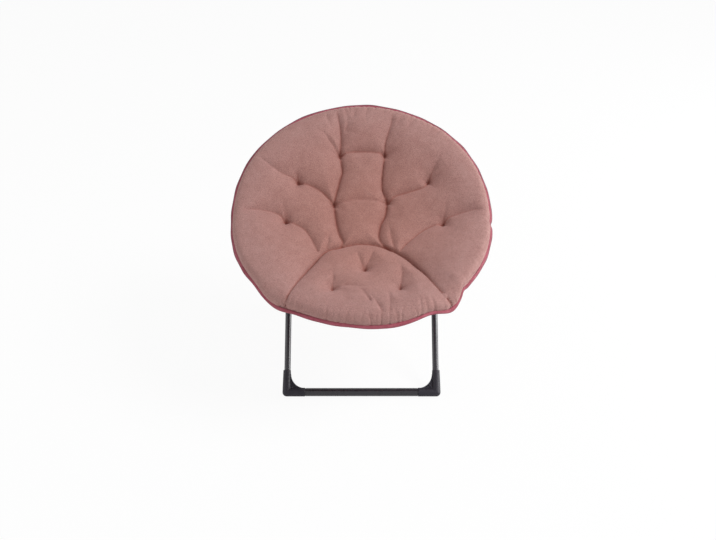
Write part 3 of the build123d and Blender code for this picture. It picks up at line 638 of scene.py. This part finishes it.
def corner_foot(name, hand, x, y, lean):
    """Moulded corner: socket for the upright, arm for the floor bar, ribbed gusset between."""
    lean = math.radians(lean)
    up = Vector((0, math.cos(lean), math.sin(lean)))
    face = Vector((0, -math.sin(lean), math.cos(lean)))
    corner = Vector((x + 0.001, y, BAR_Z))

    def place(u, w, off):
        return corner - Vector((u, 0, 0)) + up * w + face * off

    edge = 0.0124                           # gusset's tangent lines, from the two axes
    quarter = np.linspace(0, math.pi / 2, ARC_STEPS)
    arc = [(edge + GUSSET * (1 - math.sin(t)), edge + GUSSET * (1 - math.cos(t)))
           for t in quarter]
    inner = [(u - FLANGE_DEEP * math.sin(t), w - FLANGE_DEEP * math.cos(t))
             for (u, w), t in zip(arc, quarter)]
    web = arc + [(0, edge + GUSSET), (0, 0), (edge + GUSSET, 0)]
    near, far, d = 0.006, 0.0245, RIB_WIDE  # rib from the corner to the flange
    rib = [(near - d, near + d), (far - d, far + d), (far + d, far - d), (near + d, near - d)]
    ball = [(-FOOT_R * math.cos(t), FOOT_R * math.sin(t) + 1e-5)
            for t in np.linspace(0, math.pi, ARC_STEPS)]
    socket = [(0, FOOT_R), (FOOT_TALL - EDGE_STEP, SOCKET_R), (FOOT_TALL, SOCKET_R - EDGE_STEP)]
    arm = [(0, FOOT_R), (ARM - EDGE_STEP, FOOT_R), (ARM, FOOT_R - EDGE_STEP)]
    shapes = [
        lathe(corner, up, socket),
        lathe(corner, (-1, 0, 0), arm),
        lathe(corner, (0, 0, 1), ball),
        slab(web, place, WEB_HALF),
        slab(arc + inner[::-1], place, FLANGE_HALF),
        slab(rib, place, RIB_HALF),
    ]
    points, faces = [], []
    for shape, loops in shapes:
        faces += [tuple(i + len(points) for i in loop) for loop in loops]
        points += shape
    obj = mesh_object(name, points, faces)
    remesh = obj.modifiers.new("moulded", "REMESH")
    remesh.mode = "VOXEL"
    remesh.voxel_size = 0.0011
    apply_modifiers(obj)
    soft = obj.modifiers.new("soft", "SMOOTH")
    soft.factor = 0.5
    soft.iterations = 2
    apply_modifiers(obj)
    co = np.zeros(len(obj.data.vertices) * 3)
    obj.data.vertices.foreach_get("co", co)
    co = co.reshape(-1, 3)
    co[:, 2] = np.maximum(co[:, 2], 0)      # flat sole
    if hand < 0:
        co[:, 0] *= -1
        obj.data.flip_normals()
    obj.data.vertices.foreach_set("co", co.ravel())
    obj.data.update()
    return obj


feet = []
for pair, (x, y, lean) in FEET.items():
    for side, hand in (("left", -1), ("right", 1)):
        foot = corner_foot(f"{pair}_corner_{side}", hand, x, y, lean)
        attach(foot, f"{pair}_leg")
        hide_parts(f"{pair}_foot_{side}")
        feet.append(foot)


# ------------------------------------------------------------------ materials
def material(name):
    """New material, its node tree and its shader."""
    mat = bpy.data.materials.new(name)
    mat.use_nodes = True
    tree = mat.node_tree
    return mat, tree, tree.nodes["Principled BSDF"]


def noise(tree, scale, detail=3.0, rough=0.55):
    """Noise fixed to the object; scale in lumps per metre."""
    tex = tree.nodes.new("ShaderNodeTexNoise")
    tex.inputs["Scale"].default_value = scale
    tex.inputs["Detail"].default_value = detail
    tex.inputs["Roughness"].default_value = rough
    pos = tree.nodes.new("ShaderNodeTexCoord")
    tree.links.new(pos.outputs["Object"], tex.inputs["Vector"])
    return tex


def ramp(tree, source, stops):
    """Colour ramp of (place, colour) stops."""
    made = tree.nodes.new("ShaderNodeValToRGB")
    elements = made.color_ramp.elements
    while len(elements) < len(stops):
        elements.new(0.5)
    for element, (at, colour) in zip(elements, stops):
        element.position = at
        element.color = (*colour, 1)
    tree.links.new(source, made.inputs["Fac"])
    return made


def mix(tree, fac, one, two, mode="MIX"):
    """Mix of two colours; each input is a socket or a plain value."""
    made = tree.nodes.new("ShaderNodeMix")
    made.data_type = "RGBA"
    made.blend_type = mode
    sockets = {"fac": made.inputs[0], "a": made.inputs[6], "b": made.inputs[7]}
    for key, value in (("fac", fac), ("a", one), ("b", two)):
        if hasattr(value, "links"):
            tree.links.new(value, sockets[key])
        else:
            sockets[key].default_value = value if key == "fac" else (*value, 1)
    return made.outputs[2]


def bump(tree, height, strength, distance, normal=None):
    made = tree.nodes.new("ShaderNodeBump")
    made.inputs["Strength"].default_value = strength
    made.inputs["Distance"].default_value = distance
    tree.links.new(height, made.inputs["Height"])
    if normal is not None:
        tree.links.new(normal, made.inputs["Normal"])
    return made.outputs["Normal"]


def math_node(tree, operation, one, two):
    made = tree.nodes.new("ShaderNodeMath")
    made.operation = operation
    for socket, value in zip(made.inputs, (one, two)):
        if hasattr(value, "links"):
            tree.links.new(value, socket)
        else:
            socket.default_value = value
    return made.outputs[0]


def srgb(*levels):
    """Colour from screen levels of 0 to 255."""
    shares = [level / 255 for level in levels]
    return tuple(v / 12.92 if v <= 0.04045 else ((v + 0.055) / 1.055) ** 2.4 for v in shares)


def painted(tree, label):
    """What paint() gave the mesh under this label."""
    attr = tree.nodes.new("ShaderNodeAttribute")
    attr.attribute_name = label
    return attr.outputs["Fac"]


def plush_material():
    """Soft pile with painted shade: darker and warmer in the hollow of the seat and in its folds.
    """
    mat, tree, shader = material("plush")
    tufted = noise(tree, 520.0, 3.0, 0.65)      # nap, in clumps of 2 mm
    cloudy = noise(tree, 40.0, 4.0, 0.7)        # pile brushed this way and that
    outside = ramp(tree, cloudy.outputs["Fac"], [
        (0.32, srgb(178, 134, 128)), (0.68, srgb(186, 144, 138))])
    # painted shade: the middle of the seat's bowl is darker and warmer than the rest
    inside = ramp(tree, cloudy.outputs["Fac"], [
        (0.32, srgb(176, 126, 116)), (0.68, srgb(185, 136, 126))])
    tone = mix(tree, painted(tree, "hollow"), outside.outputs["Color"], inside.outputs["Color"])
    nap = ramp(tree, tufted.outputs["Fac"], [(0.34, (0.66, 0.63, 0.62)), (0.62, (1.1, 1.1, 1.1))])
    colour = mix(tree, 1.0, tone, nap.outputs["Color"], "MULTIPLY")
    # painted shade in the folds: the deeper the fold, the more the pile turns dark brownish red
    depth = ramp(tree, painted(tree, "fold"), [(0.18, (0, 0, 0)), (1.0, (0.74, 0.74, 0.74))])
    colour = mix(tree, depth.outputs["Color"], colour, srgb(150, 82, 68))
    tree.links.new(colour, shader.inputs["Base Color"])
    shader.inputs["Roughness"].default_value = 0.95
    shader.inputs["Specular IOR Level"].default_value = 0.15
    shader.inputs["Sheen Weight"].default_value = 0.35
    shader.inputs["Sheen Roughness"].default_value = 0.5
    shader.inputs["Sheen Tint"].default_value = (*srgb(226, 190, 188), 1)
    first = bump(tree, cloudy.outputs["Fac"], 0.30, 0.003)
    tree.links.new(bump(tree, tufted.outputs["Fac"], 0.75, 0.0016, first),
                   shader.inputs["Normal"])
    return mat


def weave_material(name, colour_a, colour_b, thread, sheen, shade_label=None):
    """Plain weave, with threads of about this size in metres. The last argument, if given,
    names a painted value that darkens it with painted shade, as along a folded edge."""
    mat, tree, shader = material(name)
    pos = tree.nodes.new("ShaderNodeTexCoord")
    waves = []
    for turn in (0.0, math.pi / 2):
        turned = tree.nodes.new("ShaderNodeMapping")
        turned.inputs["Rotation"].default_value = (0, 0, turn)
        tree.links.new(pos.outputs["Object"], turned.inputs["Vector"])
        wave = tree.nodes.new("ShaderNodeTexWave")
        wave.inputs["Scale"].default_value = 0.5 / thread
        wave.inputs["Distortion"].default_value = 0.6
        wave.inputs["Detail"].default_value = 0
        tree.links.new(turned.outputs["Vector"], wave.inputs["Vector"])
        waves.append(wave.outputs["Fac"])
    woven = math_node(tree, "MULTIPLY", waves[0], waves[1])
    cloudy = noise(tree, 60.0, 3.0)
    tone = ramp(tree, cloudy.outputs["Fac"], [(0.3, colour_a), (0.7, colour_b)])
    shade = ramp(tree, woven, [(0.0, (0.72, 0.72, 0.72)), (0.6, (1.05, 1.05, 1.05))])
    colour = mix(tree, 1.0, tone.outputs["Color"], shade.outputs["Color"], "MULTIPLY")
    if shade_label:
        # painted shade: the marked part of the weave turns dark crimson
        colour = mix(tree, painted(tree, shade_label), colour, srgb(96, 42, 54))
    tree.links.new(colour, shader.inputs["Base Color"])
    shader.inputs["Roughness"].default_value = 0.8
    shader.inputs["Specular IOR Level"].default_value = 0.25
    shader.inputs["Sheen Weight"].default_value = sheen
    tree.links.new(bump(tree, woven, 0.5, 0.0005), shader.inputs["Normal"])
    return mat


def coat_material():
    """Dark powder coat of the tubes, slightly grained."""
    mat, tree, shader = material("powder_coat")
    fine = noise(tree, 900.0, 2.0)
    broad = noise(tree, 35.0, 4.0)
    tone = ramp(tree, broad.outputs["Fac"], [(0.3, srgb(31, 28, 35)), (0.7, srgb(38, 35, 42))])
    tree.links.new(tone.outputs["Color"], shader.inputs["Base Color"])
    rough = ramp(tree, broad.outputs["Fac"], [(0.3, (0.24,) * 3), (0.7, (0.32,) * 3)])
    tree.links.new(rough.outputs["Color"], shader.inputs["Roughness"])
    tree.links.new(bump(tree, fine.outputs["Fac"], 0.18, 0.0004), shader.inputs["Normal"])
    return mat


def plastic_material():
    """Matt moulded plastic of the corner feet."""
    mat, tree, shader = material("moulded_plastic")
    grain = noise(tree, 1400.0, 1.0)
    broad = noise(tree, 25.0, 3.0)
    tone = ramp(tree, broad.outputs["Fac"], [(0.3, srgb(34, 31, 40)), (0.7, srgb(42, 39, 48))])
    tree.links.new(tone.outputs["Color"], shader.inputs["Base Color"])
    shader.inputs["Roughness"].default_value = 0.55
    shader.inputs["Specular IOR Level"].default_value = 0.3
    tree.links.new(bump(tree, grain.outputs["Fac"], 0.25, 0.0003), shader.inputs["Normal"])
    return mat


def rivet_material():
    """Blackened steel of the rivets."""
    mat, tree, shader = material("blackened_steel")
    broad = noise(tree, 300.0, 3.0)
    tone = ramp(tree, broad.outputs["Fac"], [(0.3, srgb(60, 60, 62)), (0.75, srgb(98, 97, 96))])
    tree.links.new(tone.outputs["Color"], shader.inputs["Base Color"])
    shader.inputs["Metallic"].default_value = 0.8
    rough = ramp(tree, broad.outputs["Fac"], [(0.3, (0.30,) * 3), (0.7, (0.48,) * 3)])
    tree.links.new(rough.outputs["Color"], shader.inputs["Roughness"])
    tree.links.new(bump(tree, broad.outputs["Fac"], 0.15, 0.0003), shader.inputs["Normal"])
    return mat


PLUSH = plush_material()
BINDING = weave_material("binding", srgb(174, 80, 95), srgb(194, 101, 116), 0.0009, 0.3, "folded_edge_shade")
BACKING = weave_material("backing_weave", srgb(168, 116, 110), srgb(178, 128, 121), 0.0011, 0.15)
COAT, PLASTIC, STEEL = coat_material(), plastic_material(), rivet_material()


def dress(obj, mat):
    """Gives the whole piece one material."""
    obj.data.materials.clear()
    obj.data.materials.append(mat)
    obj.data.polygons.foreach_set("material_index", [0] * len(obj.data.polygons))


dress(cushion, PLUSH)
dress(piping, BINDING)
dress(backing, BACKING)
for foot in feet:
    dress(foot, PLASTIC)
for name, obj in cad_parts.items():
    if obj.hide_render:
        continue
    mat = STEEL if "rivets" in name else COAT
    for slot in obj.material_slots:
        slot.material = mat
    if not obj.material_slots:
        obj.data.materials.append(mat)

for soft_piece in (cushion, piping, backing):
    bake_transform(soft_piece)


# ------------------------------------------------------------------ floor, light, camera
FLOOR_REACH = 30.0
FLOOR_WHITE = 0.93                          # share of plain white in the floor as it is seen
STUDIO_LIGHT, STUDIO_SEEN = 0.42, 1.0       # strength of the world as light, and as background


def seen_or_mirrored(tree):
    """1 for what the camera sees straight or in a gloss, else 0."""
    path = tree.nodes.new("ShaderNodeLightPath")
    return math_node(tree, "MAXIMUM", path.outputs["Is Camera Ray"],
                     path.outputs["Is Glossy Ray"])


def floor_material():
    """Pale floor that keeps the shadow and else looks white."""
    mat, tree, shader = material("floor")
    shader.inputs["Base Color"].default_value = (0.93, 0.93, 0.93, 1)
    shader.inputs["Roughness"].default_value = 0.9
    shader.inputs["Specular IOR Level"].default_value = 0.1
    white = tree.nodes.new("ShaderNodeEmission")
    white.inputs["Color"].default_value = (1, 1, 1, 1)
    share = math_node(tree, "MULTIPLY", seen_or_mirrored(tree), FLOOR_WHITE)
    blend = tree.nodes.new("ShaderNodeMixShader")
    tree.links.new(share, blend.inputs["Fac"])
    tree.links.new(shader.outputs["BSDF"], blend.inputs[1])
    tree.links.new(white.outputs["Emission"], blend.inputs[2])
    tree.links.new(blend.outputs["Shader"], tree.nodes["Material Output"].inputs["Surface"])
    return mat


corners = [(x * FLOOR_REACH, y * FLOOR_REACH, 0) for x, y in ((-1, -1), (1, -1), (1, 1), (-1, 1))]
floor = mesh_object("floor", corners, [(0, 1, 2, 3)])
floor.data.materials.append(floor_material())

world = bpy.data.worlds.new("studio")
SCENE.world = world
world.use_nodes = True
tree = world.node_tree
background = tree.nodes["Background"]
background.inputs["Color"].default_value = (1, 1, 1, 1)
level = tree.nodes.new("ShaderNodeMix")
tree.links.new(seen_or_mirrored(tree), level.inputs[0])
level.inputs[2].default_value = STUDIO_LIGHT
level.inputs[3].default_value = STUDIO_SEEN
tree.links.new(level.outputs[0], background.inputs["Strength"])


def area(name, place, aim, width, power, colour=(1, 1, 1)):
    """Round soft lamp in metres and watts."""
    lamp = bpy.data.lights.new(name, "AREA")
    lamp.shape = "DISK"
    lamp.size = width
    lamp.energy = power
    lamp.color = colour
    obj = bpy.data.objects.new(name, lamp)
    SCENE.collection.objects.link(obj)
    obj.location = place
    obj.rotation_mode = "QUATERNION"
    obj.rotation_quaternion = (Vector(aim) - Vector(place)).to_track_quat("-Z", "Y")
    return obj


area("key", (4.1, -0.9, 4.7), (0, 0, 0.5), 2.6, 232, (0.985, 0.99, 1.0))
area("side", (3.2, 0.9, 1.2), (0, 0.1, 0.45), 2.4, 32)
# a broad strip that shows only as the soft highlight along the tubes
strip = area("strip", (3.0, 0.25, 0.8), (0, 0.1, 0.45), 3.2, 130)
strip.data.shape = "RECTANGLE"
strip.data.size_y = 1.4
strip.visible_diffuse = False
area("fill", (-3.0, -0.9, 0.9), (0, 0, 0.5), 1.8, 16)

FRAME_WIDE = 716                            # pixels
FOCAL, CENTRE = 800, (3.5, 2.0)             # focal length and centre's offset in pixels
PITCH = 34                                  # degrees down
camera = bpy.data.cameras.new("camera")
camera.sensor_width = 36.0
camera.lens = camera.sensor_width * FOCAL / FRAME_WIDE
camera.shift_x = -CENTRE[0] / FRAME_WIDE
camera.shift_y = -CENTRE[1] / FRAME_WIDE
camera.clip_end = 100
eye = bpy.data.objects.new("camera", camera)
SCENE.collection.objects.link(eye)
eye.location = (0, HY - 2.027, 1.703)
eye.rotation_euler = (math.radians(90 - PITCH), 0, 0)
SCENE.camera = eye

SCENE.view_settings.view_transform = "Standard"
